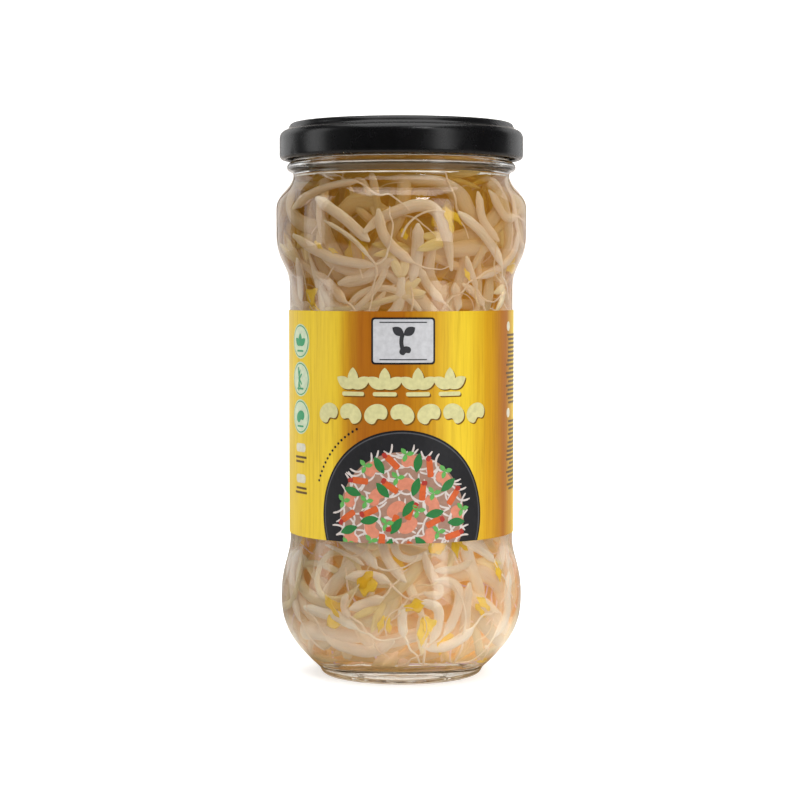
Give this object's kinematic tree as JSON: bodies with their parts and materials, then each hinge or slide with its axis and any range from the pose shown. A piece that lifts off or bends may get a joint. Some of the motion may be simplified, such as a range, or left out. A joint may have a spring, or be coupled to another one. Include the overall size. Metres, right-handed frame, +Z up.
{
  "type": "jar of bean sprouts",
  "caption": "Sealed round glass jar of bean sprouts packed in brine, with a bulge above and below a labelled waist and a black twist-off lid.",
  "frame": {"origin": "centre of the ring that the jar stands on", "axes": "+Z up along the jar's axis, -Y towards the front of the label"},
  "size_m": [0.0692, 0.0692, 0.152],
  "materials": {
    "glass": "clear flint glass",
    "lid": "glossy black lacquer on tinplate",
    "seal": "soft lining compound",
    "label": "coated paper, printed amber wood grain",
    "brine": "clear amber liquid",
    "sprout": "wet, slightly translucent stems"
  },
  "bodies": {
    "jar": {"glass_jar": "glass", "paper_label": "label", "brine": "brine", "sprouts_lower": "sprout", "sprouts_middle": "sprout", "sprouts_upper": "sprout"},
    "seal": {"lid_seal": "seal"},
    "lid": {"lid_shell": "lid"}
  },
  "joints": [
    {"name": "lid_rise", "type": "slide", "parent": "jar", "child": "seal", "axis": [0, 0, 1], "range_m": [0, 0.0017]},
    {"name": "lid_turn", "type": "hinge", "parent": "seal", "child": "lid", "pos_m": [0, 0, 0.147], "axis": [0, 0, 1], "range_deg": [0, 62]}
  ],
  "couplings": [
    {"joint": "lid_rise", "follows": "lid_turn", "m_per_rad": 0.0014786}
  ]
}
